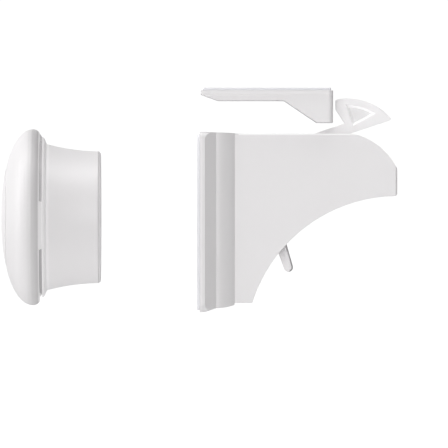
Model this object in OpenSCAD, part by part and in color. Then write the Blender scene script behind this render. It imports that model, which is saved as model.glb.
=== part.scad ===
// Magnetic cabinet safety lock, in millimetres.
// A latch is stuck to the inside of a cabinet door, a catch is stuck under the
// cabinet's top, and a magnetic key is held against the outside of the door.
// The key's magnet pulls the foot of a bell-crank lever towards the door, which
// lowers the lever's hook from behind the catch. A small toggle holds it down.
// The origin is the middle of the latch's adhesive face, on the door.
// X points into the cabinet and Z points up. The lever and toggle turn about Y.

/* [Adhesive pads] */
// Thickness of the foam pads
pad_t = 0.8; // [0.5:0.1:1.2]
// Distance from a pad's edge to the edge of the plate that it sticks to
pad_inset = 0.6; // [0.3:0.1:1.2]

/* [Latch flange] */
// Height of the flange that lies on the door
flange_h = 52.9; // [50:0.1:58]
// Width of the flange
flange_w = 34; // [32:0.5:40]
// Radius of the flange's corners
flange_corner_r = 2.4; // [1:0.2:3]
// Depth of the flange's straight rim
rim_t = 1.5; // [1.2:0.1:1.8]
// Depth of the bevel behind the rim
bevel_depth = 3.3; // [2.8:0.1:4]
// How far the bevel draws in on each side
bevel_in = 3.1; // [2.4:0.1:3.4]
// How far the bevel rises at the bottom
bevel_rise = 1.15; // [0.8:0.05:1.6]
// Depth of the rounded moulding behind the bevel
moulding_depth = 5.4; // [4.5:0.1:6.5]
// How far the moulding draws in on each side
moulding_in = 2.2; // [1.6:0.1:2.6]
// How far the moulding rises at the bottom
moulding_rise = 0.95; // [0.5:0.05:1.2]
// Step from the moulding's end down to the hood
moulding_step = 0.1; // [0.05:0.05:0.2]

/* [Latch hood] */
// Wall thickness of the hood
wall_t = 1.6; // [1.2:0.1:2]
// Distance from the door to the face of the nose
hood_reach = 58.75; // [55:0.05:64]
// Step from the flange's top edge down to the hood's top
hood_top_drop = 0.5; // [0.2:0.1:1]
// Step from the flange's bottom edge up to the hood's foot
hood_foot_rise = 2.65; // [2.2:0.05:4]
// Distance from the door to the end of the hood's foot
foot_reach = 16.2; // [14:0.1:20]
// Height of the nose face's lower edge above the flange's middle
nose_low_z = 7.6; // [5:0.1:9]
// Radius of the curve from the hood's top to the nose face
nose_r = 19.5; // [18:0.1:22]
// Radius of the nose's lower corner
nose_corner_r = 0.9; // [0.5:0.1:1.3]
// Chamfer on the upright edges of the nose face
nose_chamfer = 0.5; // [0.2:0.1:0.8]
// Radius of the sweep under the hood
under_r = 44.8; // [42:0.1:60]

/* [Hook lever] */
// Distance from the door to the lever's pivot
pivot_x = 7.4; // [7:0.1:8]
// Height of the lever's pivot above the flange's middle
pivot_z = 13.5; // [12.5:0.1:14]
// Diameter of the steel pivot pin
pin_d = 2.5; // [2:0.1:3]
// Turn that lowers the hook, in degrees
lever_travel = 14; // [12:0.5:15]
// Slope of the lever's arm at rest, in degrees
arm_angle = 18.4; // [17:0.1:20]
// Thickness of the arm
arm_t = 3.3; // [2.8:0.1:3.6]
// Width of the arm and the hook
lever_w = 8; // [7:0.2:9]
// Distance along the arm from the pivot to the hook's root
hook_root = 39; // [38:0.1:40]
// Length of the hook along the arm
hook_len = 13.4; // [12.5:0.1:14]
// Height of the hook above the arm's lower edge
hook_h = 10.8; // [10:0.1:11.2]
// Radius of the hook's curved back
hook_back_r = 17.5; // [15:0.5:22]
// Depth of the pocket in each side of the hook
pocket_depth = 1.2; // [0.8:0.1:1.8]
// Width of the rim round the pocket
pocket_rim = 1.9; // [1.5:0.1:2.3]
// Radius of the lever's hub
hub_r = 3.4; // [3:0.1:3.8]

/* [Lever magnet] */
// Diameter of the lever's magnet
lever_magnet_d = 10; // [8:0.2:11]
// Thickness of the lever's magnet
lever_magnet_t = 4; // [3:0.1:4.5]
// Height of the magnet's middle, and of the key's axis, when the hook is down
magnet_z = 1.4; // [0.8:0.1:2]
// Wall of the cup that holds the magnet
cup_wall = 1.3; // [1:0.1:1.6]
// Thickness of the cap that closes the cup
magnet_cap_t = 0.6; // [0.4:0.1:0.8]

/* [Return spring] */
// Diameter of the spring's wire
wire_d = 0.5; // [0.4:0.05:0.5]
// Space along the pin from one turn of the spring to the next
coil_spacing = 0.95; // [0.92:0.01:0.98]
// Whole turns of the spring
coil_turns = 3; // [2:1:3]

/* [Toggle] */
// Distance from the door to the toggle's axis
toggle_x = 23.5; // [22.5:0.1:24]
// Distance from the toggle's axis to the wall of the sweep beneath it
toggle_seat = 2.85; // [2.5:0.05:3.2]
// Width of the toggle
toggle_w = 6; // [5:0.2:7]
// Radius of the toggle's hub
toggle_hub_r = 3; // [2.6:0.1:3.2]
// Diameter of the toggle's trunnions
trunnion_d = 3; // [2.4:0.1:3.4]
// Distance from the axis to the end of the tab
tab_reach = 12.2; // [11.5:0.1:13.5]
// Width of the tab's rounded end, seen from the side
tab_end_w = 2.7; // [2.2:0.1:3]
// Lean of the tab away from the door while the lock is on, in degrees
tab_lean = 18; // [16:0.5:20]
// Turn from on to off, in degrees
toggle_travel = 24; // [20:1:26]

/* [Catch] */
// Width of the catch
catch_w = 30; // [26:0.5:34]
// Length of the catch
catch_len = 38.8; // [36:0.1:39.2]
// Thickness of the catch's plate
catch_plate_t = 2.95; // [2.4:0.05:3.2]
// Height of the plate's square edge
catch_edge_t = 1.15; // [0.9:0.05:1.5]
// Length of the slope at the catch's front end
catch_bevel = 4.9; // [3:0.1:6]
// Length of the ramp that pushes the hook down as the door shuts
ramp_len = 9.6; // [8:0.2:11]
// Length of the flat under the catch, behind the ramp
stop_len = 4.8; // [4:0.1:6]
// Radius of the catch's upright corners
catch_corner_r = 1.2; // [0.8:0.1:1.6]
// Play between the catch and the hook
catch_gap = 0.7; // [0.5:0.05:1.2]
// Room between the lowered hook and the catch
hook_clear = 1.9; // [1.2:0.1:2.2]
// Room between the raised hook and the cabinet's top, pad included
cabinet_clear = 3.1; // [2.2:0.1:4]

/* [Key] */
// Thickness of the cabinet's door
door_t = 18; // [16:0.5:22]
// Distance from the key's end to the door
key_gap = 10.3; // [5:0.1:40]
// Radius of the key's cap
cap_r = 25.9; // [25:0.1:28]
// Depth of the cap in front of its widest place
cap_front = 9.5; // [8.5:0.1:11]
// Depth of the cap's curve behind its widest place
cap_back = 6.1; // [5.5:0.1:7]
// Wall thickness of the cap
cap_wall = 2.2; // [1.8:0.1:2.4]
// Radius of the ring groove in the cap's face
ring_r = 14.7; // [12:0.1:16]
// Width of the slot between the cap and the sleeve
slot_w = 0.8; // [0.6:0.1:1]
// Radius of the sleeve at the door end
sleeve_r = 19.4; // [19.2:0.1:20.4]
// Length of the sleeve's neck
neck_len = 15.9; // [15:0.1:18]
// Radius of the neck's outward curve
flare_r = 60; // [56:1:70]
// Wall thickness of the sleeve
sleeve_wall = 2; // [1.6:0.1:2.1]
// Diameter of the key's magnet
key_magnet_d = 26; // [24:0.2:26.4]
// Thickness of the key's magnet
key_magnet_t = 8; // [6:0.2:9]
// Thickness of the steel plate behind the magnet
steel_t = 1.6; // [1.2:0.1:2]
// Thickness of the disc that holds the magnet in
retainer_t = 1.8; // [1.5:0.1:2.2]

/* [Hidden] */
$fn = 96;

// Clearances and the overrun of cuts
run_fit = 0.05;
fit = 0.15;
gap = 0.3;
over = 1;

// Flange and hood, measured from the door
rim_end = pad_t + rim_t;
bevel_end = rim_end + bevel_depth;
moulding_end = bevel_end + moulding_depth;
flange_half_h = flange_h / 2;
flange_half_w = flange_w / 2;
bevel_half_w = flange_half_w - bevel_in;
hood_half_w = bevel_half_w - moulding_in;
hood_top = flange_half_h - hood_top_drop;
hood_foot = hood_foot_rise - flange_half_h;
bevel_foot = bevel_rise - flange_half_h;
moulding_foot = bevel_foot + moulding_rise;
bevel_top_share = 0.4;
bevel_top = flange_half_h - hood_top_drop * bevel_top_share;
cavity_half_w = hood_half_w - wall_t;
cavity_top = hood_top - wall_t;

// Circle behind the nose's curve, as shares of its radius
nose_side_share = 0.898;
nose_top_share = 0.974;
nose_c = [hood_reach - nose_r * nose_side_share, hood_top - nose_r * nose_top_share];
nose_flat_x = nose_c.x + sqrt(pow(nose_r, 2) - pow(hood_top - nose_c.y, 2)) / 2;
nose_flat_z = nose_c.y + sqrt(pow(nose_r, 2) - pow(hood_reach - nose_c.x, 2)) / 2;

// Middle of the circle of radius r through a and b, on the right of the way from a to b
function arc_centre(a, b, r) =
    let (along = (b - a) / norm(b - a), half = norm(b - a) / 2)
    (a + b) / 2 + sqrt(r * r - half * half) * [along.y, -along.x];

under_c = arc_centre([foot_reach, hood_foot], [hood_reach, nose_low_z], under_r);

// Radius of the arc that leaves a line and has moved in by rise after run
function lead_r(run, rise) = (run * run + rise * rise) / (2 * rise);

moulding_r = lead_r(moulding_depth, moulding_in - moulding_step);

// Circle in the nose's lower corner, which stands a little past the faces that it joins
corner_bite = 0.02;
corner_x = hood_reach - nose_corner_r + corner_bite;
corner_z = under_c.y + sqrt(pow(under_r, 2) - pow(corner_x - under_c.x, 2)) + nose_corner_r - corner_bite;

// Back plate, which the pad and the housing's rim surround
rim_wall = 1.6;
plate_t = 1.6;
plate_face = pad_t + plate_t;
rebate_half_w = flange_half_w - rim_wall;
rebate_half_h = flange_half_h - rim_wall;
rebate_r = flange_corner_r - rim_wall / 2;

// Lever, whose arm and hook are drawn along the arm (u) and across it (v)
pivot = [pivot_x, pivot_z];
hub_half_w = lever_w / 2;
spacer_half_w = hub_half_w + (coil_turns + 1) * coil_spacing + run_fit;
spacer_wall = 0.7;
spacer_r = pin_d / 2 + spacer_wall;
hook_nose_back = 1.2;
hook_nose_v_share = 0.74;
hook_point_v_share = 0.975;
hook_corner = 0.5;
hook_tip_t = 0.45;
pocket_front_share = 1.1;
pocket_draft_share = 0.5;
hook_crown = [hook_root + hook_corner / 2, hook_h];
hook_tip = [hook_root + hook_len, hook_tip_t];
hook_back_c = arc_centre(hook_crown, hook_tip, hook_back_r);

// A point of the lever in the part's frame, with the hook lowered by turn
function lever_point(u, v, turn = 0) =
    let (a = arm_angle - turn)
    pivot + [u * cos(a) - v * sin(a), u * sin(a) + v * cos(a)];

// A point turned about a centre, by the right-hand rule about Y
function turned(p, c, a) =
    let (d = p - c)
    c + [d.x * cos(a) + d.y * sin(a), d.y * cos(a) - d.x * sin(a)];

hook_front_x = min(
    lever_point(hook_root - hook_nose_back, hook_h * hook_nose_v_share).x,
    lever_point(hook_root - hook_corner, hook_h * hook_point_v_share).x
);
hook_top_z = lever_point(hook_crown.x + hook_corner, hook_h).y;
hook_low_z = lever_point(hook_crown.x, hook_h, lever_travel).y;

// Slot in the hood's top and nose for the arm and the hook
slot_side = 0.6;
slot_end_room = 1;
slot_half_w = hub_half_w + slot_side;
slot_u = (cavity_top - pivot.y - arm_t * cos(arm_angle)) / sin(arm_angle);
slot_x = lever_point(slot_u, arm_t).x - slot_end_room;
slot_z = lever_point(hook_tip.x, 0, lever_travel).y - slot_end_room;

// Magnet cup, drawn with the hook lowered, when it faces the back plate
cup_r = lever_magnet_d / 2 + cup_wall;
cap_skirt_t = 0.5;
crank_x_share = 0.75;
crank_z_share = 0.62;
cap_skirt_len = 2;
cap_skirt_r = cup_r + cap_skirt_t;
cap_face = plate_face + gap;
cup_face = cap_face + magnet_cap_t;
magnet_back = cup_face + lever_magnet_t;
cup_back = magnet_back + cup_wall;
cup_bottom = magnet_z - cup_r;
nib_w = 2.4;
nib_h = 3.1;
nib_low = cup_bottom - nib_h;

// Torsion spring: a leg under the arm, the coil round the hub, and a leg on the back plate
coil_r = spacer_r + gap + wire_d / 2;
coil_start_y = hub_half_w + gap + wire_d / 2;
rings_per_turn = 8;
wire_sides = 6;
spring_leg_lean = 14;
spring_sweep = 360 * coil_turns + 90 - spring_leg_lean;
coil_rings = ceil(spring_sweep / 360 * rings_per_turn);
arm_leg_x = (coil_r + wire_d) / tan(arm_angle);
arm_leg_reach = arm_leg_x + 2 * wire_d;
plate_leg_len = 7.5;
leg_bend = 1;
leg_cross = 3.5;
coil_points = [for (i = [0:coil_rings])
    let (t = i / coil_rings, a = 90 + t * spring_sweep)
    [
        pivot_x + coil_r * cos(a),
        coil_start_y + coil_spacing * t * spring_sweep / 360,
        pivot_z + coil_r * sin(a)
    ]];
coil_end = coil_points[coil_rings];
arm_leg = [
    [pivot_x + arm_leg_reach, coil_start_y - leg_cross, pivot_z + coil_r],
    [pivot_x + arm_leg_reach, coil_start_y - leg_bend, pivot_z + coil_r],
    [pivot_x + arm_leg_reach - leg_bend / 3, coil_start_y - leg_bend / 3, pivot_z + coil_r],
    [pivot_x + arm_leg_reach - leg_bend, coil_start_y, pivot_z + coil_r]
];
plate_leg = [coil_end + plate_leg_len * [-sin(spring_leg_lean), 0, -cos(spring_leg_lean)]];
spring_points = concat(arm_leg, coil_points, plate_leg);

// Least gap of the coil to itself, over points at least half a turn apart
half_turn = rings_per_turn / 2;
coil_gap = min([for (i = [0:coil_rings - half_turn], j = [i + half_turn:coil_rings])
    norm(coil_points[i] - coil_points[j])]) - wire_d;
echo(spring_least_gap = coil_gap);

// Ribs in the housing that carry the pivot pin and the toggle
saddle_half_w = spacer_half_w + run_fit;
saddle_half_h = 3.2;
saddle_back = pivot_x + hub_r;
saddle_front = bevel_end - gap;
pin_end_gap = 0.2;
pin_half_len = cavity_half_w - pin_end_gap;
finger_half_h = 1.1;
toggle_z = under_c.y + sqrt(pow(under_r + wall_t + toggle_seat, 2) - pow(toggle_x - under_c.x, 2));
toggle_axis = [toggle_x, toggle_z];
boss_r = 3.2;
shoulder_len = 1.2;
shoulder_step = 0.8;
trunnion_end_gap = 1;
boss_face = toggle_w / 2 + shoulder_len + fit;
trunnion_half_len = cavity_half_w - trunnion_end_gap;

// Toggle, whose catching arm is drawn in the off position
tooth_gap = 0.4;
tooth_left = cup_back + tooth_gap;
tooth_w = 1.7;
tooth_top = cup_bottom - nib_h / 2;
tooth_flat_share = 0.45;
hub_hold_share = 0.9;
hub_low_share = 0.5;
hub_hold = toggle_axis + [0, toggle_hub_r * hub_hold_share];
nib_rest = turned([cup_back, nib_low], pivot, -lever_travel) - [0, gap + tooth_gap];
arm_rise = (hub_hold.y - nib_rest.y) / (hub_hold.x - nib_rest.x);
shelf_z = hub_hold.y - (hub_hold.x - tooth_left - tooth_w) * arm_rise;
toggle_arm_t = 1.9;
tab_root_w = 3.4;

// Screws of the back plate
screw_d = 2.2;
screw_head_d = 4.2;
screw_head_t = 1.1;
screw_len = 7.5;
screw_boss_r = 2.3;
screw_sink = 0.2;
screw_y = bevel_half_w - wall_t - screw_boss_r + screw_sink;
screw_low_z = hood_foot + wall_t + screw_boss_r;
screw_high_z = cavity_top - screw_boss_r - gap;
screw_sites = [for (y = [-screw_y, screw_y], z = [screw_low_z, screw_high_z]) [y, z]];
boss_len = 8.4;

// Tab slot in the sweep under the hood
tab_room = 0.6;
tab_slot_left = toggle_axis.x + tab_reach * sin(tab_lean - toggle_travel) - tab_end_w / 2 - tab_room;
tab_slot_right = toggle_axis.x + tab_reach * sin(tab_lean) + tab_end_w / 2 + tab_room;

// Catch
catch_x1 = hook_front_x - catch_gap;
catch_x0 = catch_x1 - catch_len;
catch_top = hook_top_z + cabinet_clear - pad_t;
catch_low = hook_low_z + hook_clear;
catch_under = catch_top - catch_plate_t;
ramp_end = catch_x1 - stop_len;
ramp_start = ramp_end - ramp_len;
catch_wall = 1.8;
catch_step = 0.4;

// Key
key_end = -door_t - key_gap;
neck_root = key_end - neck_len;
collar_t = 1.3;
collar_back = neck_root - collar_t;
cap_lip = collar_back - slot_w;
cap_round = 2.12;
cap_steps = 14;

// Distance of the cap's outline behind its widest place, at radius r
function cap_depth(r, radius, depth) = depth * pow(1 - pow(r / radius, cap_round), 1 / cap_round);

// Radius of the cap's outline at distance x from its widest place
function cap_radius(x, radius, depth) = radius * pow(1 - pow(abs(x) / depth, cap_round), 1 / cap_round);

cap_lip_in = 1.05;
cap_lip_r = cap_r - cap_lip_in;
cap_mid = cap_lip - cap_depth(cap_lip_r, cap_r, cap_back);
cap_lip_inner_r = cap_radius(cap_lip - cap_mid, cap_r - cap_wall, cap_back - cap_wall / 4);
spigot_r = cap_lip_inner_r - fit;
spigot_wall = 1.6;
spigot_len = 3.6;
bead_h = 0.3;
collar_r = cap_radius(collar_back - cap_mid, cap_r, cap_back);
neck_root_r = sleeve_r + flare_r - sqrt(pow(flare_r, 2) - pow(neck_len, 2));
lug_r = spigot_r + 2 * gap;
lug_angle = 34;
lug_tilt = 6;
lug_count = 3;
ring_w = 1;
ring_depth = 0.5;
end_wall = 1.6;
end_round = 0.6;
magnet_face = key_end - end_wall;
magnet_rear = magnet_face - key_magnet_t;
steel_rear = magnet_rear - steel_t;
retainer_rear = steel_rear - retainer_t;
tube_r = sleeve_r - sleeve_wall;
magnet_ring_wall = 1.2;
post_count = 3;
post_off = 2;
post_site_r = key_magnet_d / 2 + fit + post_off;
post_r = 1.9;
post_bore_r = 0.9;
rib_count = 6;
rib_w = 1.4;
key_screw_d = 1.8;
key_screw_head_d = 3.4;
key_screw_head_t = 1.3;
key_screw_len = 6;
key_screw_end_gap = 1;

// Extrudes a side view, drawn in X and Z, to both sides of the middle plane
module side(width) {
    rotate([90, 0, 0])
        linear_extrude(height = width, center = true)
            children();
}

// Turns its children about an axis along Y, by the right-hand rule
module about(c, angle) {
    translate([c.x, 0, c.y])
        rotate([0, angle, 0])
            translate([-c.x, 0, -c.y])
                children();
}

// The same turn for an outline that is drawn in X and Z
module outline_about(c, angle) {
    translate(c)
        rotate(-angle)
            translate(-c)
                children();
}

// Revolves a profile, drawn in radius and distance along X, about the key's axis
module key_turned() {
    translate([0, 0, magnet_z])
        rotate([0, 90, 0])
            rotate_extrude()
                children();
}

// Rectangle given by its two corners
module span(a, b) {
    translate(a)
        square(b - a);
}

// Rectangle about the middle with round corners
module rounded(half, r) {
    span([-half.x, r - half.y], [half.x, half.y - r]);
    span([r - half.x, -half.y], [half.x - r, half.y]);
    for (x = [r - half.x, half.x - r], y = [r - half.y, half.y - r])
        translate([x, y])
            circle(r);
}

// Area below an arc that leaves a level line at a and falls to b
module bulge(a, b) {
    r = lead_r(b.x - a.x, a.y - b.y);
    intersection() {
        translate([a.x, a.y - r])
            circle(r);
        span([a.x - over, 0], [b.x, a.y + over]);
    }
}

// Outline of the hood from the side, drawn in by inset
module hood_side(inset) {
    high = hood_top - inset;
    reach = hood_reach - inset;
    difference() {
        union() {
            span([bevel_end - over, hood_foot + inset], [nose_flat_x, high]);
            span([bevel_end, hood_foot + inset], [reach, nose_flat_z]);
            intersection() {
                translate(nose_c)
                    circle(nose_r - inset);
                span([nose_c.x, nose_c.y], [reach, high]);
            }
        }
        translate(under_c)
            circle(under_r + inset);
    }
}

// What the nose's lower corner loses to its rounding
module nose_corner() {
    difference() {
        span([corner_x, corner_z - nose_corner_r - over], [hood_reach + over, corner_z]);
        translate([corner_x, corner_z])
            circle(nose_corner_r);
    }
}

// Outline of the whole housing from the side
module housing_side() {
    difference() {
        hood_side(0);
        nose_corner();
    }
    polygon([
        [pad_t, -flange_half_h],
        [rim_end, -flange_half_h],
        [bevel_end, bevel_foot],
        [bevel_end, bevel_top],
        [rim_end, flange_half_h],
        [pad_t, flange_half_h]
    ]);
    bulge([bevel_end, bevel_top], [moulding_end, hood_top + moulding_step]);
    mirror([0, 1])
        bulge([bevel_end, -bevel_foot], [moulding_end, -moulding_foot]);
}

// Outline of the housing from above: rim, bevel, moulding and hood
module housing_plan() {
    polygon([
        [pad_t, -flange_half_w],
        [rim_end, -flange_half_w],
        [bevel_end, -bevel_half_w],
        [bevel_end, bevel_half_w],
        [rim_end, flange_half_w],
        [pad_t, flange_half_w]
    ]);
    polygon([
        [rim_end, -hood_half_w],
        [hood_reach - nose_chamfer, -hood_half_w],
        [hood_reach, nose_chamfer - hood_half_w],
        [hood_reach, hood_half_w - nose_chamfer],
        [hood_reach - nose_chamfer, hood_half_w],
        [rim_end, hood_half_w]
    ]);
    for (s = [0, 1])
        mirror([0, s])
            intersection() {
                translate([bevel_end, bevel_half_w - moulding_r])
                    circle(moulding_r);
                span([bevel_end - over, 0], [moulding_end, bevel_half_w + over]);
            }
}

module housing_form() {
    intersection() {
        side(flange_w)
            housing_side();
        translate([0, 0, -flange_half_h])
            linear_extrude(height = flange_h)
                housing_plan();
        translate([pad_t, 0, 0])
            rotate([90, 0, 90])
                linear_extrude(height = hood_reach)
                    rounded([flange_half_w, flange_half_h], flange_corner_r);
    }
}

// Hollow of the housing, open towards the door
module housing_hollow() {
    side(2 * cavity_half_w)
        hood_side(wall_t);
    translate([-over, 0, 0])
        rotate([90, 0, 90])
            linear_extrude(height = over + plate_face)
                rounded([rebate_half_w, rebate_half_h], rebate_r);
    low = moulding_foot + wall_t;
    translate([0, 0, low])
        linear_extrude(height = cavity_top - low)
            polygon([
                [plate_face - over, -bevel_half_w + wall_t],
                [bevel_end, -bevel_half_w + wall_t],
                [moulding_end, -cavity_half_w],
                [moulding_end, cavity_half_w],
                [bevel_end, bevel_half_w - wall_t],
                [plate_face - over, bevel_half_w - wall_t]
            ]);
}

// Saddle block with a slot that opens towards the door and ends round the pin
module pin_saddle() {
    side(2 * bevel_half_w)
        difference() {
            span([saddle_front, pivot_z - saddle_half_h], [saddle_back, pivot_z + saddle_half_h]);
            translate(pivot)
                circle(pin_d / 2 + run_fit);
            span(
                [saddle_front - over, pivot_z - finger_half_h - fit],
                [pivot_x, pivot_z + finger_half_h + fit]
            );
        }
}

// Everything that stands in the hollow: saddles, toggle bosses and screw bosses
module housing_ribs() {
    difference() {
        pin_saddle();
        translate([0, -saddle_half_w, pivot_z - flange_half_h])
            cube([saddle_back + over, 2 * saddle_half_w, flange_h]);
    }
    translate([toggle_axis.x, 0, toggle_axis.y])
        rotate([90, 0, 0])
            difference() {
                cylinder(r = boss_r, h = 2 * hood_half_w, center = true);
                cylinder(r = boss_r + over, h = 2 * boss_face, center = true);
                cylinder(d = trunnion_d + 2 * run_fit, h = 2 * (trunnion_half_len + fit), center = true);
            }
    for (site = screw_sites)
        translate([plate_face, site.x, site.y])
            rotate([0, 90, 0])
                cylinder(r = screw_boss_r, h = boss_len);
}

// Blind holes of the back plate's screws
module screw_holes() {
    for (site = screw_sites)
        translate([plate_face - over, site.x, site.y])
            rotate([0, 90, 0])
                cylinder(d = screw_d + 2 * run_fit, h = boss_len);
}

module latch_housing() {
    color("white")
        difference() {
            housing_form();
            difference() {
                housing_hollow();
                housing_ribs();
            }
            screw_holes();
            translate([slot_x, -slot_half_w, slot_z])
                cube([hood_reach, 2 * slot_half_w, flange_h]);
            translate([tab_slot_left, -toggle_w / 2 - tab_room, hood_foot])
                cube([tab_slot_right - tab_slot_left, toggle_w + 2 * tab_room, -hood_foot + toggle_z + over]);
        }
}

module back_plate() {
    color("whitesmoke")
        difference() {
            union() {
                translate([pad_t, 0, 0])
                    rotate([90, 0, 90])
                        linear_extrude(height = plate_t - run_fit)
                            rounded([rebate_half_w - fit, rebate_half_h - fit], rebate_r);
                for (s = [-1, 1])
                    translate([plate_face - over, s * (saddle_half_w + fit), pivot_z - finger_half_h])
                        mirror([0, s < 0 ? 1 : 0, 0])
                            cube([
                                pivot_x - pin_d / 2 - run_fit - plate_face + over,
                                cavity_half_w - saddle_half_w - fit,
                                2 * finger_half_h
                            ]);
            }
            for (site = screw_sites)
                translate([pad_t, site.x, site.y])
                    rotate([0, 90, 0]) {
                        translate([0, 0, -over])
                            cylinder(d = screw_d + 2 * fit, h = plate_t + 2 * over);
                        cylinder(
                            d1 = screw_head_d + 2 * run_fit,
                            d2 = screw_d + 2 * run_fit,
                            h = screw_head_t
                        );
                    }
        }
}

module back_plate_screws() {
    color("silver")
        for (site = screw_sites)
            translate([pad_t, site.x, site.y])
                rotate([0, 90, 0]) {
                    cylinder(d1 = screw_head_d, d2 = screw_d, h = screw_head_t);
                    cylinder(d = screw_d, h = screw_len);
                }
}

module latch_adhesive_pad() {
    color("gainsboro")
        rotate([90, 0, 90])
            linear_extrude(height = pad_t)
                rounded([flange_half_w - pad_inset, flange_half_h - pad_inset], flange_corner_r);
}

module pivot_pin() {
    color("silver")
        translate([pivot_x, 0, pivot_z])
            rotate([90, 0, 0])
                cylinder(d = pin_d, h = 2 * pin_half_len, center = true);
}

// Directions along a path, and a frame carried along it without twist
function unit(v) = v / norm(v);
function way(p, i) =
    let (last = len(p) - 1)
    unit(unit(p[min(i + 1, last)] - p[min(i, last - 1)]) + unit(p[max(i, 1)] - p[max(i - 1, 0)]));
function carried(p, i, n, out = []) =
    i == len(p) ? out
    : let (t = way(p, i), m = unit(n - (n * t) * t))
      carried(p, i + 1, m, concat(out, [m]));

// Tube of round section along a path, as one closed mesh
module tube(p, r, sides) {
    normals = carried(p, 0, [0, 0, 1]);
    ring_points = [for (i = [0:len(p) - 1])
        let (t = way(p, i), n = normals[i], b = cross(t, n))
        for (k = [0:sides - 1])
            p[i] + r * (cos(360 * k / sides) * n + sin(360 * k / sides) * b)];
    last = len(p) - 1;
    skin = [for (i = [0:last - 1], k = [0:sides - 1])
        let (a = i * sides + k, b = i * sides + (k + 1) % sides)
        each [[a, a + sides, b], [b, a + sides, b + sides]]];
    caps = [for (k = [1:sides - 2]) each [
        [0, k, k + 1],
        [last * sides, last * sides + k + 1, last * sides + k]
    ]];
    polyhedron(ring_points, concat(skin, caps));
}

module return_spring() {
    color("silver")
        tube(spring_points, wire_d / 2, wire_sides);
}

// Hook with its curved back, drawn along and across the arm
module hook_outline() {
    intersection() {
        polygon([
            [hook_root - arm_t, 0],
            [hook_root, arm_t],
            [hook_root - hook_nose_back, hook_h * hook_nose_v_share],
            [hook_root - hook_corner, hook_h * hook_point_v_share],
            [hook_crown.x, hook_h],
            [hook_tip.x, hook_h],
            hook_tip,
            [hook_tip.x - hook_tip_t, 0]
        ]);
        translate(hook_back_c)
            circle(hook_back_r);
    }
}

// Pocket that leaves an even rim inside the hook, drawn upward from its floor. Its walls
// lean outward: two flat ones and a cone that follows the hook's curved back.
module hook_pocket() {
    lean = pocket_draft_share;
    high = pocket_depth + over;
    front = [hook_root + pocket_rim * pocket_front_share, pocket_rim];
    rim_r = hook_back_r - pocket_rim;
    intersection() {
        translate(hook_back_c)
            cylinder(r1 = rim_r - pocket_depth * lean, r2 = rim_r + over * lean, h = high);
        translate([front.x, hook_h + over, 0])
            rotate([90, 0, 0])
                linear_extrude(height = hook_h + 2 * over)
                    pocket_wall(lean, high, hook_len);
        translate(front)
            rotate(atan2(pocket_rim, hook_tip.x - front.x))
                translate([-over, 0, 0])
                    rotate([90, 0, 90])
                        linear_extrude(height = hook_len + 2 * over)
                            pocket_wall(lean, high, hook_h);
    }
}

// Section across a leaning wall of the pocket and the room beyond it
module pocket_wall(lean, high, room) {
    polygon([
        [high * lean, -over],
        [-over * lean, high],
        [room, high],
        [room, -over]
    ]);
}

// Turns its children from the lowered pose, in which the cup is drawn, back to rest
module raised() {
    about(pivot, -lever_travel)
        children();
}

// Cylinder along X about the magnet's axis, between two distances from the door
module magnet_disc(x0, x1, r) {
    translate([x0, 0, magnet_z])
        rotate([0, 90, 0])
            cylinder(r = r, h = x1 - x0);
}

// Lever from the side: arm and hook, hub, and the crank down to the magnet's cup
module lever_outline() {
    translate(pivot) {
        circle(hub_r);
        rotate(arm_angle) {
            span([0, 0], [hook_root, arm_t]);
            hook_outline();
        }
    }
    outline_about(pivot, -lever_travel)
        polygon([
            [cup_face + cap_skirt_len, magnet_z],
            [cup_back, magnet_z],
            [pivot_x + hub_r * crank_x_share, pivot_z - hub_r * crank_z_share],
            [pivot_x - hub_r * crank_x_share, pivot_z - hub_r * crank_z_share],
            [cup_face + cap_skirt_len, magnet_z + cap_skirt_r + gap]
        ]);
}

module hook_lever() {
    color("white")
        difference() {
            union() {
                side(lever_w)
                    lever_outline();
                translate([pivot_x, 0, pivot_z])
                    rotate([90, 0, 0])
                        cylinder(r = spacer_r, h = 2 * spacer_half_w, center = true);
                raised() {
                    magnet_disc(cup_face, cup_back, cup_r);
                    side(lever_w / 2)
                        span([cup_back - nib_w, nib_low], [cup_back, magnet_z]);
                }
            }
            for (s = [0, 1])
                mirror([0, s, 0])
                    translate([pivot_x, pocket_depth - hub_half_w, pivot_z])
                        rotate([90, -arm_angle, 0])
                            hook_pocket();
            translate([pivot_x, 0, pivot_z])
                rotate([90, 0, 0])
                    cylinder(r = pin_d / 2 + run_fit, h = lever_w + flange_w, center = true);
            raised()
                magnet_disc(cup_face - over, magnet_back, lever_magnet_d / 2 + run_fit);
        }
}

module lever_magnet() {
    color("darkgray")
        raised()
            magnet_disc(cup_face, magnet_back, lever_magnet_d / 2);
}

module magnet_cap() {
    color("gainsboro")
        raised()
            difference() {
                magnet_disc(cap_face, cup_face + cap_skirt_len - gap, cap_skirt_r);
                magnet_disc(cup_face, cup_face + cap_skirt_len, cup_r + run_fit);
            }
}

// Tab that a finger moves, drawn from the axis down
module tab_outline() {
    end_r = tab_end_w / 2;
    polygon([
        [-tab_root_w / 2, 0],
        [tab_root_w / 2, 0],
        [end_r, end_r - tab_reach],
        [-end_r, end_r - tab_reach]
    ]);
    translate([0, end_r - tab_reach])
        circle(end_r);
}

// Toggle from the side: hub, tab, and the arm whose tooth catches the lever's nib
module toggle_outline() {
    translate(toggle_axis) {
        circle(toggle_hub_r);
        rotate(tab_lean)
            tab_outline();
    }
    outline_about(toggle_axis, -toggle_travel)
        polygon([
            hub_hold,
            [tooth_left + tooth_w, shelf_z],
            [tooth_left + tooth_w * tooth_flat_share, tooth_top],
            [tooth_left, tooth_top],
            [tooth_left, shelf_z - toggle_arm_t],
            [tooth_left + tooth_w, shelf_z - toggle_arm_t],
            toggle_axis - [0, toggle_hub_r * hub_low_share]
        ]);
}

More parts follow.
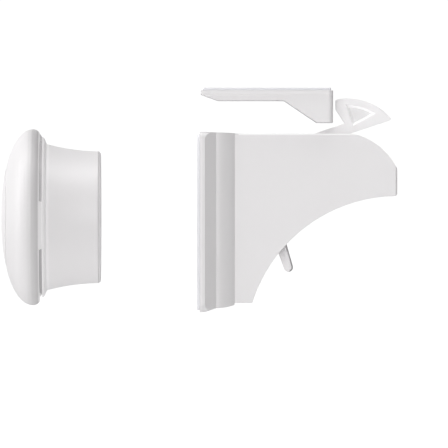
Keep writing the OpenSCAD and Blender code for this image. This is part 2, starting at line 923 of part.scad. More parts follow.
module toggle_lever() {
    color("white") {
        side(toggle_w)
            toggle_outline();
        translate([toggle_axis.x, 0, toggle_axis.y])
            rotate([90, 0, 0]) {
                cylinder(r = trunnion_d / 2 + shoulder_step, h = 2 * (boss_face - fit), center = true);
                cylinder(d = trunnion_d, h = 2 * trunnion_half_len, center = true);
            }
    }
}

// Catch from the side: bevelled front end, plate, ramp and the wedge that stops the hook
module catch_side() {
    polygon([
        [catch_x0, catch_top],
        [catch_x0, catch_top - catch_edge_t],
        [catch_x0 + catch_bevel, catch_under],
        [ramp_start, catch_under],
        [ramp_end, catch_low],
        [catch_x1, catch_low],
        [catch_x1, catch_top]
    ]);
}

// Catch from above, with round corners at the stop end
module catch_plan(step) {
    half = catch_w / 2 - step;
    r = catch_corner_r;
    span([catch_x0, -half], [catch_x1 - r, half]);
    span([catch_x0, r - half], [catch_x1, half - r]);
    for (y = [r - half, half - r])
        translate([catch_x1 - r, y])
            circle(r);
}

// Hollow over the wedge, closed by the pad, with a web in the middle
module catch_hollow() {
    floor_z = catch_low + catch_wall;
    slope = (catch_under - catch_low) / ramp_len;
    drop = catch_wall * sqrt(1 + slope * slope);
    difference() {
        side(catch_w - 2 * catch_wall)
            polygon([
                [ramp_start + catch_wall, catch_top + over],
                [ramp_start + catch_wall, catch_under - slope * catch_wall + drop],
                [ramp_end, catch_low + drop],
                [catch_x1 - catch_wall, floor_z],
                [catch_x1 - catch_wall, catch_top + over]
            ]);
        translate([ramp_start, -catch_wall / 2, catch_low])
            cube([ramp_len + stop_len, catch_wall, catch_top - catch_low]);
    }
}

module catch_body() {
    color("white")
        difference() {
            union() {
                intersection() {
                    side(catch_w)
                        catch_side();
                    translate([0, 0, catch_low - over])
                        linear_extrude(height = catch_top - catch_low + 2 * over)
                            catch_plan(catch_step);
                }
                translate([0, 0, catch_top - catch_edge_t])
                    linear_extrude(height = catch_edge_t)
                        catch_plan(0);
            }
            catch_hollow();
        }
}

module catch_adhesive_pad() {
    color("lavender")
        translate([catch_x0 + pad_inset, pad_inset - catch_w / 2, catch_top])
            cube([catch_len - 2 * pad_inset, catch_w - 2 * pad_inset, pad_t]);
}

// Outline of the cap from its middle to its lip, grown from the same formula outside and inside
function cap_outline(radius, front, back) = concat(
    [for (i = [0:cap_steps])
        let (a = 90 * i / cap_steps, x = -front * cos(a))
        [i == cap_steps ? radius : cap_radius(x, radius, front), cap_mid + x]],
    [for (i = [1:cap_steps])
        let (x = (cap_lip - cap_mid) * i / cap_steps)
        [cap_radius(x, radius, back), cap_mid + x]]
);

module key_cap() {
    inner_r = cap_r - cap_wall;
    face = cap_mid - cap_front + cap_depth(0, cap_r, cap_front) - cap_depth(ring_r, cap_r, cap_front);
    color("white") {
        key_turned()
            difference() {
                polygon(concat(
                    cap_outline(cap_r, cap_front, cap_back),
                    [[0, cap_lip]]
                ));
                polygon(concat(
                    cap_outline(inner_r, cap_front - cap_wall, cap_back - cap_wall / 4),
                    [[0, cap_lip]]
                ));
                span([0, cap_lip], [spigot_r + fit, cap_lip + over]);
                translate([ring_r - ring_w / 2, face - ring_depth])
                    square([ring_w, 2 * ring_depth]);
            }
        for (i = [0:lug_count - 1])
            translate([0, 0, magnet_z])
                rotate([360 * i / lug_count - 90 - lug_angle / 2 + lug_tilt, 0, 0])
                    rotate([0, 90, 0])
                        rotate_extrude(angle = lug_angle)
                            polygon([
                                [lug_r, cap_lip - slot_w / 2],
                                [cap_lip_r - run_fit, cap_lip - slot_w / 2],
                                [cap_lip_r - run_fit, cap_lip],
                                [collar_r - run_fit, collar_back],
                                [lug_r, collar_back]
                            ]);
    }
}

// Half of the neck's section, which curves outward to its root and has a chamfered end
module neck_half() {
    difference() {
        polygon([
            [0, neck_root],
            [neck_root_r, neck_root],
            [neck_root_r, key_end - end_round],
            [sleeve_r, key_end - end_round],
            [sleeve_r - end_round, key_end],
            [0, key_end]
        ]);
        translate([sleeve_r + flare_r, key_end])
            circle(flare_r);
    }
}

module key_sleeve() {
    color("white")
        difference() {
            union() {
                key_turned()
                    difference() {
                        union() {
                            neck_half();
                            polygon([
                                [0, collar_back],
                                [collar_r, collar_back],
                                [collar_r - collar_t / 3, collar_back + collar_t / 2],
                                [neck_root_r, neck_root],
                                [sleeve_r, neck_root + over],
                                [0, neck_root + over]
                            ]);
                            span([0, collar_back - spigot_len], [spigot_r, collar_back + over / 2]);
                            polygon([
                                [spigot_r - over, collar_back - spigot_len],
                                [spigot_r, collar_back - spigot_len],
                                [spigot_r + bead_h, collar_back - spigot_len + 2 * bead_h],
                                [spigot_r, collar_back - spigot_len + 4 * bead_h],
                                [spigot_r - over, collar_back - spigot_len + 4 * bead_h]
                            ]);
                        }
                        span([-over, collar_back - over], [tube_r, key_end - end_wall]);
                        span([-over, collar_back - spigot_len - over], [spigot_r - spigot_wall, collar_back]);
                    }
                translate([0, 0, magnet_z])
                    for (i = [0:rib_count - 1])
                        rotate([360 * (i + 1 / 2) / rib_count, 0, 0])
                            translate([magnet_rear, key_magnet_d / 2 + fit, -rib_w / 2])
                                cube([key_magnet_t + over / 2, tube_r - key_magnet_d / 2, rib_w]);
                for (i = [0:post_count - 1])
                    translate([0, 0, magnet_z])
                        rotate([360 * i / post_count, 0, 0])
                            translate([steel_rear, post_site_r, 0])
                                rotate([0, 90, 0])
                                    cylinder(r = post_r, h = magnet_face - steel_rear + over / 2);
            }
            for (i = [0:post_count - 1])
                translate([0, 0, magnet_z])
                    rotate([360 * i / post_count, 0, 0])
                        translate([steel_rear - over, post_site_r, 0])
                            rotate([0, 90, 0])
                                cylinder(r = post_bore_r + run_fit, h = key_screw_len + over);
        }
}

module key_disc(x0, x1, r) {
    translate([x0, 0, magnet_z])
        rotate([0, 90, 0])
            cylinder(r = r, h = x1 - x0);
}

module key_magnet() {
    color("silver")
        key_disc(magnet_rear, magnet_face, key_magnet_d / 2);
}

module key_backing_plate() {
    color("darkgray")
        key_disc(steel_rear, magnet_rear, key_magnet_d / 2);
}

module key_retainer() {
    color("gainsboro")
        difference() {
            key_disc(retainer_rear, steel_rear, tube_r - fit);
            key_disc(retainer_rear - over, steel_rear + over, key_magnet_d / 4);
            for (i = [0:post_count - 1])
                translate([0, 0, magnet_z])
                    rotate([360 * i / post_count, 0, 0])
                        translate([retainer_rear - over, post_site_r, 0])
                            rotate([0, 90, 0])
                                cylinder(d = key_screw_d + 2 * fit, h = retainer_t + 2 * over);
        }
}

module key_screws() {
    color("silver")
        for (i = [0:post_count - 1])
            translate([0, 0, magnet_z])
                rotate([360 * i / post_count, 0, 0])
                    translate([retainer_rear - key_screw_head_t, post_site_r, 0])
                        rotate([0, 90, 0]) {
                            cylinder(d = key_screw_head_d, h = key_screw_head_t);
                            cylinder(
                                d = key_screw_d,
                                h = key_screw_head_t + retainer_t + key_screw_len - key_screw_end_gap
                            );
                        }
}

latch_housing();
back_plate();
back_plate_screws();
latch_adhesive_pad();
pivot_pin();
return_spring();
hook_lever();
lever_magnet();
magnet_cap();
toggle_lever();
catch_body();
catch_adhesive_pad();
key_cap();
key_sleeve();
key_magnet();
key_backing_plate();
key_retainer();
key_screws();
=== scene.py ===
# %% [markdown]
# # A magnetic cabinet safety lock
# The lock has three parts that a cabinet's door and top hold apart: a latch on the door's inside,
# a catch under the cabinet's top, and a round key in front of the door. The frame brings their
# solids at their real size and place. This lesson gives them their finishes, makes the pieces
# whose look the solids can't have, and lights and frames them as a studio photograph does.

# %% Start
import math
import bpy
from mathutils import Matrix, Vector


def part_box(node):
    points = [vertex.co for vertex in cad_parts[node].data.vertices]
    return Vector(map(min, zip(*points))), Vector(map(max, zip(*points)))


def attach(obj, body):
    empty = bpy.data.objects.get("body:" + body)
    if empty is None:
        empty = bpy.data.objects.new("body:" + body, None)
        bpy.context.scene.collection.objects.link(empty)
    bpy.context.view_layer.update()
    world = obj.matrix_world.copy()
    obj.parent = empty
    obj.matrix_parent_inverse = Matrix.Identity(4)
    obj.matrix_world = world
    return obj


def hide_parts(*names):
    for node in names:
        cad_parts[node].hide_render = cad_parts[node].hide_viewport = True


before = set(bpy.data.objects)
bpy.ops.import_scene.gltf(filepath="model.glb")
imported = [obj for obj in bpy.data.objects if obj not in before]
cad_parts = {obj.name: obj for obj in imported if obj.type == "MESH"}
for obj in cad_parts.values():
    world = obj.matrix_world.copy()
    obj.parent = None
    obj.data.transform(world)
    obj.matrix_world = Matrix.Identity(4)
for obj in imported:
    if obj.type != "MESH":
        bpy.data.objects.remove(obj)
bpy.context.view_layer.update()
MM = 0.001

# %% [markdown]
# ## Camera
# The photograph looks straight along +Y at the height of the latch's middle. It shows almost no
# perspective, so the camera stands 4 m away and has a very long lens. The frame is square, and
# the sensor's width alone sets how wide the view is: 131.8 mm at the lock's middle plane.

# %% Camera
VIEW_DISTANCE = 4.0
VIEW_WIDTH = 0.1318
VIEW_CENTRE = Vector((7.9 * MM, 0, -0.6 * MM))

camera_data = bpy.data.cameras.new("studio_camera")
camera_data.sensor_width = 36
camera_data.lens = camera_data.sensor_width * VIEW_DISTANCE / VIEW_WIDTH
camera_data.clip_start = 0.01
camera_data.clip_end = 50
camera = bpy.data.objects.new("studio_camera", camera_data)
camera.location = VIEW_CENTRE + Vector((0, -VIEW_DISTANCE, 0))
camera.rotation_euler = (math.radians(90), 0, 0)
bpy.context.scene.collection.objects.link(camera)
bpy.context.scene.camera = camera
bpy.context.scene.view_settings.view_transform = "Standard"
print("lens", round(camera_data.lens, 1))

# %% [markdown]
# ## Material tools
# Every finish here is a small node tree. These helpers add nodes and join them, so that each
# finish below reads as a recipe: a colour that varies a little, a gloss that varies a little,
# and a relief. Patterns read Object coordinates, which are metres here, so a noise of scale
# 1000 has grains of about a millimetre. A mask turns a measure, such as a place along X, into
# a share from 0 to 1 with a soft step, and shares multiply where several things must hold.

# %% Node helpers
def new_material(name):
    material = bpy.data.materials.new(name)
    material.use_nodes = True
    tree = material.node_tree
    shader = tree.nodes["Principled BSDF"]
    place = tree.nodes.new("ShaderNodeTexCoord")
    return material, tree, shader, place.outputs["Object"]


def noise(tree, place, scale, detail):
    node = tree.nodes.new("ShaderNodeTexNoise")
    node.inputs["Scale"].default_value = scale
    node.inputs["Detail"].default_value = detail
    tree.links.new(place, node.inputs["Vector"])
    return node.outputs["Fac"]


def spread(tree, value, low, high, start=0.35, end=0.65):
    node = tree.nodes.new("ShaderNodeMapRange")
    tree.links.new(value, node.inputs["Value"])
    for socket, number in zip(("From Min", "From Max", "To Min", "To Max"), (start, end, low, high)):
        node.inputs[socket].default_value = number
    return node.outputs["Result"]


def between(tree, factor, first, second):
    node = tree.nodes.new("ShaderNodeMix")
    node.data_type = "RGBA"
    tree.links.new(factor, node.inputs["Factor"])
    node.inputs["A"].default_value = (*first, 1)
    node.inputs["B"].default_value = (*second, 1)
    return node.outputs["Result"]


def relief(tree, height, strength, depth, under=None):
    node = tree.nodes.new("ShaderNodeBump")
    node.inputs["Strength"].default_value = strength
    node.inputs["Distance"].default_value = depth
    tree.links.new(height, node.inputs["Height"])
    if under is not None:
        tree.links.new(under, node.inputs["Normal"])
    return node.outputs["Normal"]


def arithmetic(tree, operation, first, second=None):
    node = tree.nodes.new("ShaderNodeMath")
    node.operation = operation
    for socket, value in zip(node.inputs, (first, second)):
        if isinstance(value, float):
            socket.default_value = value
        elif value is not None:
            tree.links.new(value, socket)
    return node.outputs["Value"]


def product(tree, *values):
    total = values[0]
    for value in values[1:]:
        total = arithmetic(tree, "MULTIPLY", total, value)
    return total


def vector_math(tree, operation, first, second=None, scale=None):
    node = tree.nodes.new("ShaderNodeVectorMath")
    node.operation = operation
    for socket, value in ((0, first), (1, second), ("Scale", scale)):
        if isinstance(value, tuple):
            node.inputs[socket].default_value = value
        elif value is not None:
            tree.links.new(value, node.inputs[socket])
    return node.outputs["Value" if operation in ("DISTANCE", "DOT_PRODUCT") else "Vector"]


def part_of(tree, vector, axis):
    node = tree.nodes.new("ShaderNodeSeparateXYZ")
    tree.links.new(vector, node.inputs["Vector"])
    return node.outputs[axis]


# %% Masks
SHORT_STEP = 0.1 * MM
LONG_STEP = 0.5 * MM
FACING_SIDE = (0.90, 0.95)


def mask(tree, value, start, end):
    return spread(tree, value, 0.0, 1.0, start, end)


def band(tree, value, start, end, fade=SHORT_STEP):
    rising = mask(tree, value, start, start + SHORT_STEP)
    falling = mask(tree, value, end + fade, end)
    return product(tree, rising, falling)


def facing(tree, axis):
    return part_of(tree, tree.nodes.new("ShaderNodeNewGeometry").outputs["True Normal"], axis)


def sideways_faces(tree, least, most):
    return mask(tree, arithmetic(tree, "ABSOLUTE", facing(tree, "Y")), least, most)


# %% Edges
BEVEL_SAMPLES = 12


def eased_edges(tree, radius):
    node = tree.nodes.new("ShaderNodeBevel")
    node.samples = BEVEL_SAMPLES
    node.inputs["Radius"].default_value = radius
    return node.outputs["Normal"]


def far_edges(tree, place, near, radius, start, lean=(0.06, 0.14), turn=1.3):
    flat = tree.nodes.new("ShaderNodeNewGeometry").outputs["Normal"]
    change = vector_math(tree, "SUBTRACT", eased_edges(tree, radius), flat)
    leaning = mask(tree, part_of(tree, change, "X"), *lean)
    beyond = mask(tree, part_of(tree, place, "X"), start, start + LONG_STEP)
    turned = vector_math(tree, "SCALE", (turn, 0.0, 0.0), scale=product(tree, leaning, beyond))
    return vector_math(tree, "NORMALIZE", vector_math(tree, "ADD", near, turned))


# %% Painted shade and painted light
# Mixes a darker colour into the base colour over a zone: painted shade.
def paint_shade(tree, shader, share, colour):
    shell = shader.inputs["Base Color"].links[0].from_socket
    mixed = tree.nodes.new("ShaderNodeMix")
    mixed.data_type = "RGBA"
    tree.links.new(share, mixed.inputs["Factor"])
    tree.links.new(shell, mixed.inputs["A"])
    mixed.inputs["B"].default_value = (*colour, 1)
    tree.links.new(mixed.outputs["Result"], shader.inputs["Base Color"])


# Lights a zone by emission: painted light, for painted highlights and lit zones.
def paint_light(tree, shader, share, strength, least=0.0):
    colour = between(tree, share, (least, least, least), (1, 1, 1))
    tree.links.new(colour, shader.inputs["Emission Color"])
    shader.inputs["Emission Strength"].default_value = strength


# %% [markdown]
# ## Finishes
# The lock's shells are moulded ABS: white and nearly glossy, with a skin that is not quite flat.
# A mould's steel leaves no sharp edge, and the Bevel node turns the light along each edge as a
# small rounding would. The right-hand edges of the catch, the toggle and the key are wide dark
# lines in the photograph, so these four shells have a second radius for edges that lean to +X.
# Roundings in the mesh would do the same, but the solids keep the shape that the frame brings.
# The inner mouldings are plainer. The foam pads are closed-cell tape. The screws and plate are
# zinc-plated, the pin and spring drawn steel, and the magnets nickel-plated. One recipe with
# numbers serves all plastics and one all three metals.

# %% Plastic
WHITE = (0.902, 0.884, 0.892)
# The lever's lighter white is painted light: it offsets the shade that the lever sits in.
LEVER_PAINTED_LIGHT_WHITE = (0.955, 0.940, 0.948)
INNER = (0.800, 0.795, 0.800)
SHELL_GLOSS, CAP_GLOSS = (0.30, 0.34), (0.34, 0.38)
SLEEVE_GLOSS, INNER_GLOSS = (0.38, 0.42), (0.42, 0.55)
SHELL_SKIN, INNER_SKIN = 0.04, 0.35
CLOUD_SCALE, CLOUD_SHADE, CLOUD_RANGE = 45, 0.008, (0.2, 0.8)
GLOSS_SCALE = 900
FINE_SCALE, FINE_DEPTH = 5200, 0.004 * MM
BROAD_SCALE, BROAD_DEPTH = 60, 0.06 * MM


def plastic(name, edge, light=WHITE, gloss=SHELL_GLOSS, skin=SHELL_SKIN, **far):
    material, tree, shader, place = new_material(name)
    dark = [channel - CLOUD_SHADE for channel in light]
    cloud = mask(tree, noise(tree, place, CLOUD_SCALE, detail=1), *CLOUD_RANGE)
    tree.links.new(between(tree, cloud, dark, light), shader.inputs["Base Color"])
    sheen = noise(tree, place, GLOSS_SCALE, detail=2)
    tree.links.new(spread(tree, sheen, *gloss), shader.inputs["Roughness"])
    edges = eased_edges(tree, edge)
    if far:
        edges = far_edges(tree, place, edges, **far)
    fine = relief(tree, noise(tree, place, FINE_SCALE, detail=1), skin, FINE_DEPTH, edges)
    broad = relief(tree, noise(tree, place, BROAD_SCALE, detail=1), skin, BROAD_DEPTH, fine)
    tree.links.new(broad, shader.inputs["Normal"])
    return material, tree, shader, place


catch_white = plastic("catch_white", edge=0.12 * MM, radius=0.65 * MM, start=38 * MM, turn=1.9)[0]
toggle_white = plastic("toggle_white", edge=0.12 * MM, radius=0.90 * MM, start=20 * MM, turn=1.8)[0]
inner_white = plastic("inner_white", edge=0.15 * MM, light=INNER, gloss=INNER_GLOSS, skin=INNER_SKIN)[0]
print("plastics", [finish.name for finish in (catch_white, toggle_white, inner_white)])

# %% [markdown]
# ## Four shells with something more
# White plastic in even light shows almost none of the lines that the lock should show, so some
# light and shade is painted into the finishes: a tint is painted shade that darkens a zone, and a
# glow is painted light that lightens one. The latch has painted shade on the moulding behind its
# rim and a painted highlight along the hood's top edge. The lever has a little painted light all
# over, and most in the walls that lean round the hook's pocket, whose floor has painted shade.
# The key's cap has painted shade towards its slot and a painted highlight on its lip. The slot's
# floor has painted shade, and the sleeve's lugs and collar have painted light. A zone is found by
# its place, by its distance from an axis or by the way that its faces look. More lamps could draw
# some of these lines, but each lamp lights every piece.

# %% Latch plastic
RIM_END, MOULDING_END, HOOD_START = 1.5 * MM, 11.1 * MM, 12 * MM
HOOD_TOP = 25.9 * MM
TOP_LINE = (HOOD_TOP - 0.55 * MM, HOOD_TOP - 0.10 * MM)
TOP_EDGE_PAINTED_HIGHLIGHT = 0.24
MOULDING_PAINTED_SHADE = (0.834, 0.818, 0.825)


def latch_plastic():
    material, tree, shader, place = plastic("latch_white", edge=0.14 * MM)
    along = part_of(tree, place, "X")
    top_edge_highlight = product(
        tree,
        sideways_faces(tree, *FACING_SIDE),
        mask(tree, along, HOOD_START, HOOD_START + LONG_STEP),
        mask(tree, part_of(tree, place, "Z"), *TOP_LINE),
    )
    # Painted highlight: emission along the hood's top edge.
    paint_light(tree, shader, top_edge_highlight, TOP_EDGE_PAINTED_HIGHLIGHT)
    # Painted shade: the moulding behind the rim is darker in the base colour.
    paint_shade(tree, shader, band(tree, along, RIM_END, MOULDING_END), MOULDING_PAINTED_SHADE)
    return material


latch_white = latch_plastic()
print(latch_white.name)

# %% Lever plastic
POCKET_FLOOR_Y = 2.8 * MM
POCKET_ZONE = (POCKET_FLOOR_Y + 0.3 * MM, POCKET_FLOOR_Y + 0.1 * MM)
POCKET_PAINTED_SHADE = (0.82, 0.81, 0.815)
WALL_LEAN_LEAST, WALL_LEAN_MOST = (0.10, 0.20), (0.90, 0.80)
FACING_DOOR = (0.0, -0.10)
WALL_PAINTED_LIGHT, WHOLE_LEVER_PAINTED_LIGHT = 0.28, 0.27


# The walls that lean round the hook's pocket and face the door, which get a painted highlight.
def pocket_wall_highlights(tree):
    leaning = product(tree, sideways_faces(tree, *WALL_LEAN_LEAST), sideways_faces(tree, *WALL_LEAN_MOST))
    return product(tree, leaning, mask(tree, facing(tree, "X"), *FACING_DOOR))


def lever_plastic():
    material, tree, shader, place = plastic("lever_white", edge=0.20 * MM, light=LEVER_PAINTED_LIGHT_WHITE)
    from_middle = arithmetic(tree, "ABSOLUTE", part_of(tree, place, "Y"))
    near_floor = mask(tree, from_middle, *POCKET_ZONE)
    # Painted shade on the floor of the hook's pocket.
    paint_shade(tree, shader, product(tree, sideways_faces(tree, *FACING_SIDE), near_floor), POCKET_PAINTED_SHADE)
    # Painted light: the lever glows a little all over, and most in the walls round the hook's pocket.
    paint_light(tree, shader, pocket_wall_highlights(tree), WALL_PAINTED_LIGHT, WHOLE_LEVER_PAINTED_LIGHT)
    return material


lever_white = lever_plastic()
print(lever_white.name)

# %% Cap plastic
CAP_LIP = -46.3 * MM
CAP_FAR_SIDE = (CAP_LIP - 4.0 * MM, CAP_LIP - 0.8 * MM)
CAP_PAINTED_SHADE = (0.70, 0.685, 0.69)
LIP_LINE = (CAP_LIP - 0.35 * MM, CAP_LIP - 0.20 * MM)
LIP_PAINTED_HIGHLIGHT = 0.24


def cap_plastic():
    material, tree, shader, place = plastic(
        "cap_white", edge=0.20 * MM, gloss=CAP_GLOSS,
        radius=3.2 * MM, start=-52 * MM, lean=(0.0, 0.7), turn=2.6,
    )
    along = part_of(tree, place, "X")
    # Painted shade: the cap darkens towards its slot.
    paint_shade(tree, shader, mask(tree, along, *CAP_FAR_SIDE), CAP_PAINTED_SHADE)
    # Painted highlight along the cap's lip.
    paint_light(tree, shader, mask(tree, along, *LIP_LINE), LIP_PAINTED_HIGHLIGHT)
    return material


cap_white = cap_plastic()
print(cap_white.name)

# %% Sleeve plastic
KEY_AXIS_Z = 1.4 * MM
SLOT_FRONT, SLOT_BACK = CAP_LIP, -45.5 * MM
SPIGOT_R, LUG_R = 22.37 * MM, 22.97 * MM
COLLAR_FADES = -43.8 * MM
COLLAR_PAINTED_LIGHT_SHARE = 0.30
LUG_AND_COLLAR_PAINTED_LIGHT = 0.26
SLOT_PAINTED_SHADE = (0.55, 0.54, 0.55)


def distance_from_key_axis(tree, place):
    across = vector_math(tree, "MULTIPLY", place, (0.0, 1.0, 1.0))
    return vector_math(tree, "DISTANCE", across, (0.0, 0.0, KEY_AXIS_Z))


def sleeve_plastic():
    material, tree, shader, place = plastic(
        "sleeve_white", edge=0.20 * MM, gloss=SLEEVE_GLOSS, radius=0.46 * MM, start=-31 * MM
    )
    along = part_of(tree, place, "X")
    from_axis = distance_from_key_axis(tree, place)
    slot_width = band(tree, along, SLOT_FRONT - SHORT_STEP, SLOT_BACK)
    slot_shade_share = product(tree, slot_width, mask(tree, from_axis, LUG_R, SPIGOT_R + SHORT_STEP))
    on_lug = product(tree, slot_width, mask(tree, from_axis, SPIGOT_R + SHORT_STEP, LUG_R - SHORT_STEP))
    on_collar = product(tree, band(tree, along, SLOT_BACK, COLLAR_FADES, LONG_STEP), COLLAR_PAINTED_LIGHT_SHARE)
    # Painted light on the lugs, and a little on the collar.
    paint_light(tree, shader, arithmetic(tree, "MAXIMUM", on_lug, on_collar), LUG_AND_COLLAR_PAINTED_LIGHT)
    # Painted shade on the slot's floor.
    paint_shade(tree, shader, slot_shade_share, SLOT_PAINTED_SHADE)
    return material


sleeve_white = sleeve_plastic()
print(sleeve_white.name)

# %% Foam tape
CELL_SCALE, CELL_RANGE = 5200, (0.0, 0.6)
FOAM_DARK, FOAM_LIGHT = (0.90, 0.90, 0.93), (0.94, 0.94, 0.97)
FOAM_ROUGHNESS = 0.72
CELL_RELIEF, CELL_DEPTH = 0.2, 0.03 * MM


def foam_tape():
    material, tree, shader, place = new_material("foam_tape_white")
    cells = tree.nodes.new("ShaderNodeTexVoronoi")
    cells.inputs["Scale"].default_value = CELL_SCALE
    tree.links.new(place, cells.inputs["Vector"])
    walls = mask(tree, cells.outputs["Distance"], *CELL_RANGE)
    tree.links.new(between(tree, walls, FOAM_DARK, FOAM_LIGHT), shader.inputs["Base Color"])
    shader.inputs["Roughness"].default_value = FOAM_ROUGHNESS
    skin = relief(tree, cells.outputs["Distance"], CELL_RELIEF, CELL_DEPTH)
    tree.links.new(skin, shader.inputs["Normal"])
    return material


foam = foam_tape()
print(foam.name)

# %% Metals
PATCH_SCALE = 420
METAL_EDGE, GRAIN_DEPTH = 0.08 * MM, 0.02 * MM


def metal(name, light, dark, gloss, grain_scale, grain):
    material, tree, shader, place = new_material(name)
    patches = spread(tree, noise(tree, place, PATCH_SCALE, detail=4), 0, 1)
    tree.links.new(between(tree, patches, dark, light), shader.inputs["Base Color"])
    sheen = noise(tree, place, GLOSS_SCALE, detail=3)
    tree.links.new(spread(tree, sheen, *gloss), shader.inputs["Roughness"])
    shader.inputs["Metallic"].default_value = 1.0
    edges = eased_edges(tree, METAL_EDGE)
    fine = relief(tree, noise(tree, place, grain_scale, detail=3), grain, GRAIN_DEPTH, edges)
    tree.links.new(fine, shader.inputs["Normal"])
    return material


zinc = metal(
    "zinc_plate", light=(0.78, 0.79, 0.80), dark=(0.68, 0.69, 0.72),
    gloss=(0.28, 0.42), grain_scale=3000, grain=0.25,
)
steel = metal(
    "drawn_steel", light=(0.66, 0.66, 0.67), dark=(0.52, 0.52, 0.53),
    gloss=(0.22, 0.36), grain_scale=6000, grain=0.3,
)
nickel = metal(
    "nickel_plate", light=(0.80, 0.78, 0.74), dark=(0.72, 0.70, 0.67),
    gloss=(0.12, 0.22), grain_scale=2000, grain=0.12,
)
print("metals", zinc.name, steel.name, nickel.name)

# %% [markdown]
# ## Finishes on the frame's solids
# The solids whose shape is right keep it, and only get their finish.

# %% Dress the solids
finishes = {
    "latch_housing": latch_white, "hook_lever": lever_white, "toggle_lever": toggle_white,
    "catch_body": catch_white, "key_cap": cap_white, "key_sleeve": sleeve_white,
    "back_plate": inner_white, "magnet_cap": inner_white, "key_retainer": inner_white,
    "back_plate_screws": zinc, "key_screws": zinc, "key_backing_plate": zinc,
    "pivot_pin": steel, "return_spring": steel,
    "lever_magnet": nickel, "key_magnet": nickel,
}
for node, finish in finishes.items():
    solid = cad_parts[node]
    solid.data.materials.clear()
    solid.data.materials.append(finish)
print("dressed", len(finishes))

# %% [markdown]
# ## Foam pads
# Closed-cell tape is soft: between the plate and the door its cut edge swells, so the pad is
# widest half-way through its thickness. The frame's plain slab can't show that. The pad could be
# one bevelled box, but a bevel is as wide along the thickness as across it. So a plate with
# rounded corners is extruded in three layers, and each layer is resized on its way.

# %% Pad tools
PAD_PINCH = 0.18
OUTER_LAYER, MIDDLE_LAYER = 0.3, 0.4
CORNER_SEGMENTS = 8
SMOOTH_ANGLE = math.radians(50)


def edit(mesh_object):
    bpy.ops.object.select_all(action="DESELECT")
    bpy.context.view_layer.objects.active = mesh_object
    mesh_object.select_set(True)
    bpy.ops.object.mode_set(mode="EDIT")
    bpy.ops.mesh.select_all(action="SELECT")


def tape_layer(size, before, after, height):
    bpy.ops.mesh.extrude_region_move(TRANSFORM_OT_translate={"value": (0, 0, height)})
    growth = [(side - 2 * after) / (side - 2 * before) for side in size]
    bpy.ops.transform.resize(value=(*growth, 1), center_override=(0, 0, 0))


def foam_tape_pad(name, node, body, flat, turn, corner):
    low, high = (Vector(point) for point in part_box(node))
    middle, extent = (low + high) / 2, high - low
    size = [extent[axis] for axis in flat]
    thick = extent[3 - sum(flat)]
    pinch = PAD_PINCH * thick
    layers = ((pinch, 0, OUTER_LAYER), (0, 0, MIDDLE_LAYER), (0, pinch, OUTER_LAYER))
    bpy.ops.object.select_all(action="DESELECT")
    bpy.ops.mesh.primitive_plane_add(size=1, location=(0, 0, 0))
    pad = bpy.context.object
    pad.name = name
    pad.scale = (size[0] - 2 * pinch, size[1] - 2 * pinch, 1)
    bpy.ops.object.transform_apply(location=False, rotation=False, scale=True)
    edit(pad)
    bpy.ops.mesh.bevel(offset=corner, segments=CORNER_SEGMENTS, affect="VERTICES")
    bpy.ops.transform.translate(value=(0, 0, -thick / 2))
    for before, after, share in layers:
        tape_layer(size, before, after, share * thick)
    bpy.ops.mesh.select_all(action="SELECT")
    bpy.ops.mesh.normals_make_consistent(inside=False)
    bpy.ops.object.mode_set(mode="OBJECT")
    pad.rotation_euler = [math.radians(angle) for angle in turn]
    pad.location = middle
    bpy.ops.object.transform_apply(location=True, rotation=True, scale=True)
    bpy.ops.object.shade_smooth_by_angle(angle=SMOOTH_ANGLE)
    pad.data.materials.append(foam)
    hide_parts(node)
    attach(pad, body)
    return pad


# %% Latch pad
pad = foam_tape_pad(
    "latch_foam_pad", "latch_adhesive_pad", "latch", flat=(1, 2), turn=(90, 0, 90), corner=1.8 * MM
)
print(pad.name, len(pad.data.polygons), "faces, mm", [round(side / MM, 2) for side in pad.dimensions])

# %% Catch pad
pad = foam_tape_pad(
    "catch_foam_pad", "catch_adhesive_pad", "catch", flat=(0, 1), turn=(0, 0, 0), corner=0.5 * MM
)
print(pad.name, len(pad.data.polygons), "faces, mm", [round(side / MM, 2) for side in pad.dimensions])

# %% [markdown]
# ## Studio
# Product photographs of white goods are taken in a light tent: pale cloth all round, lamps
# outside it, and a backdrop so bright that it comes out pure white. Here the cloth is the world,
# built from five soft lobes of light, and the Light Path node lets the camera alone see a bright
# backdrop. Eight soft disc lamps stand round the lock, most of them at the left and above, so
# that faces turned to the right are grey. A pale floor lies well below and glows a little. One
# big lamp would be simpler, but then every edge would be equally bright and the lock look flat.
#
# Most numbers in TENT and LAMPS were not chosen by eye. A scratch program rendered the lock in 17
# lobes and 28 lamps, one at a time, and a least-squares fit found the strengths that came nearest
# to the photograph's brightness at about 50 places. They are rounded here. Then one lobe was left
# out, two lamps at the right top were made one, the front and left lamps were weakened, and the
# front top lamp was added.

# %% Floor
FLOOR_RADIUS = 2.3
FLOOR_HEIGHT = -0.12
FLOOR_DARK, FLOOR_LIGHT = (0.84, 0.84, 0.84), (0.87, 0.87, 0.87)
FLOOR_PATCH_SCALE = 3
FLOOR_ROUGHNESS = 0.9
FLOOR_GLOW = 0.03

bpy.ops.object.select_all(action="DESELECT")
bpy.ops.mesh.primitive_circle_add(
    vertices=96, radius=FLOOR_RADIUS, fill_type="NGON", location=(0, 0, FLOOR_HEIGHT)
)
floor = bpy.context.object
floor.name = "studio_floor"
floor_paint, tree, shader, place = new_material("pale_floor")
floor_colour = between(tree, noise(tree, place, FLOOR_PATCH_SCALE, detail=2), FLOOR_DARK, FLOOR_LIGHT)
tree.links.new(floor_colour, shader.inputs["Base Color"])
shader.inputs["Roughness"].default_value = FLOOR_ROUGHNESS
shader.inputs["Emission Color"].default_value = (1, 1, 1, 1)
shader.inputs["Emission Strength"].default_value = FLOOR_GLOW
floor.data.materials.append(floor_paint)
print(floor.name, "radius m", FLOOR_RADIUS)

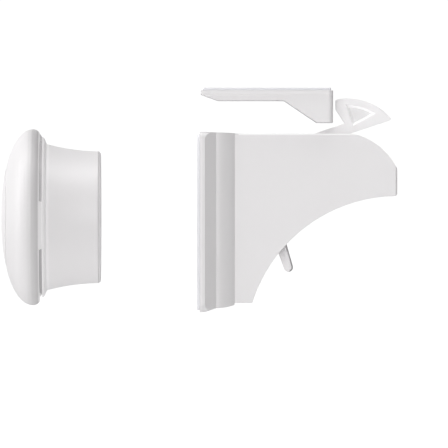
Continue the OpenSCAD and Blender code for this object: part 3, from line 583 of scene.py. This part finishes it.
# %% Air
TENT = [
    ((0, 1, 0), 0.62),
    ((-0.71, 0.71, 0), 0.63),
    ((0, 0.71, 0.71), 0.31),
    ((0, 0.71, -0.71), 1.66),
    ((-0.71, 0, -0.71), 0.72),
]
LOBE_TIGHTNESS = 5.0
BACKDROP = 1.04


def lobe(tree, direction, strength):
    towards = tuple(Vector(direction).normalized())
    looking = tree.nodes.new("ShaderNodeTexCoord").outputs["Generated"]
    front = arithmetic(tree, "MAXIMUM", vector_math(tree, "DOT_PRODUCT", looking, towards), 0.0)
    return arithmetic(tree, "MULTIPLY", arithmetic(tree, "POWER", front, LOBE_TIGHTNESS), strength)


world = bpy.data.worlds.new("light_tent")
world.use_nodes = True
bpy.context.scene.world = world
air = world.node_tree
total = lobe(air, *TENT[0])
for direction, strength in TENT[1:]:
    total = arithmetic(air, "ADD", total, lobe(air, direction, strength))
seen = air.nodes.new("ShaderNodeLightPath").outputs["Is Camera Ray"]
shown = arithmetic(air, "MAXIMUM", total, arithmetic(air, "MULTIPLY", seen, BACKDROP))
air.links.new(shown, air.nodes["Background"].inputs["Strength"])
air.nodes["Background"].inputs["Color"].default_value = (1, 1, 1, 1)
print("tent lobes", len(TENT))

# %% Lamps
LAMPS = [
    ("front_softbox", (-0.07, -1, 0.05), 10.5),
    ("front_top_softbox", (0, -0.72, 0.69), 1.3),
    ("left_softbox", (-0.96, -0.26, 0.05), 2.3),
    ("left_back_softbox", (-0.98, 0.17, 0.05), 4.1),
    ("left_high_softbox", (-0.89, 0.16, 0.42), 3.7),
    ("left_top_softbox", (-0.62, -0.17, 0.77), 4.7),
    ("top_softbox", (-0.25, 0.04, 0.97), 5.4),
    ("right_top_softbox", (0.17, -0.19, 0.97), 8.2),
]
LAMP_WIDTH = 1.0
LAMP_DISTANCE = 1.6


def soft_lamp(name, direction, power):
    data = bpy.data.lights.new(name, "AREA")
    data.shape = "DISK"
    data.size = LAMP_WIDTH
    data.energy = power
    lamp = bpy.data.objects.new(name, data)
    towards = Vector(direction).normalized()
    lamp.location = VIEW_CENTRE + towards * LAMP_DISTANCE
    lamp.rotation_euler = towards.to_track_quat("Z", "Y").to_euler()
    lamp.visible_camera = False
    bpy.context.scene.collection.objects.link(lamp)


for name, direction, power in LAMPS:
    soft_lamp(name, direction, power)
print("lamps", len(LAMPS))
